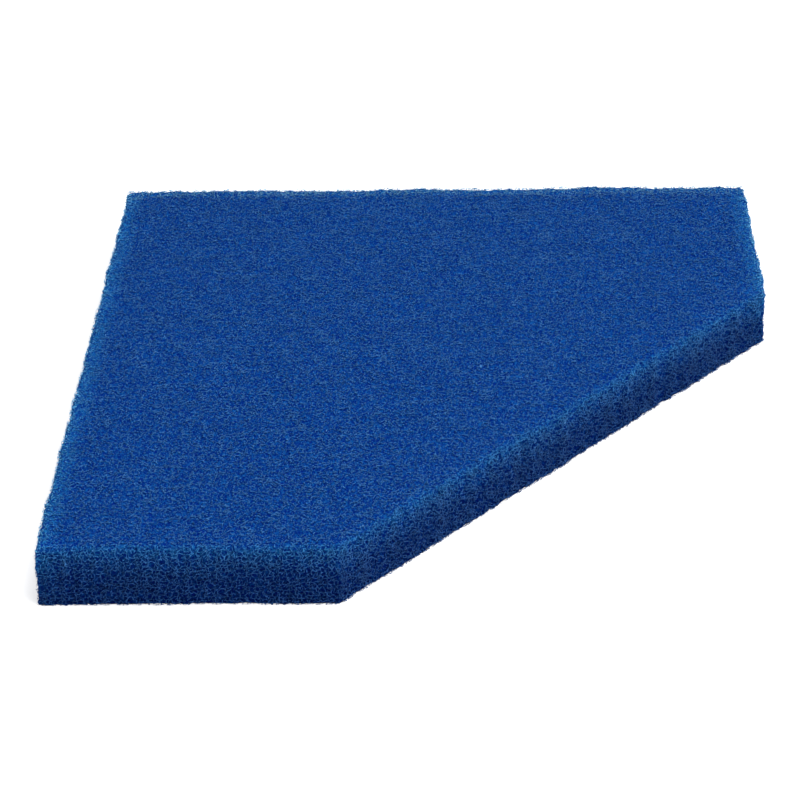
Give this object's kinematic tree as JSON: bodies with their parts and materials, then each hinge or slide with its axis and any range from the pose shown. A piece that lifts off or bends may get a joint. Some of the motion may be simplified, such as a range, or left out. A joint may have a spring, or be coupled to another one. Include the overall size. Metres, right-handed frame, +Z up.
{
  "type": "sponge filter",
  "caption": "Flat slab of coarse blue open-cell filter foam, a rectangle with a corner cut off on a long diagonal, that drops into a tray and strains what flows through it.",
  "frame": {"origin": "centre of the overall rectangle, on the face that the slab lies on", "axes": "+X to the right along the full back edge, +Y to the back, +Z up through the sheet's thickness"},
  "size_m": [0.23, 0.26, 0.02],
  "materials": {
    "filter_foam": "open network of soft satin blue struts, dark between the cells"
  },
  "bodies": {
    "root": {"foam_slab": "filter_foam"}
  },
  "joints": []
}
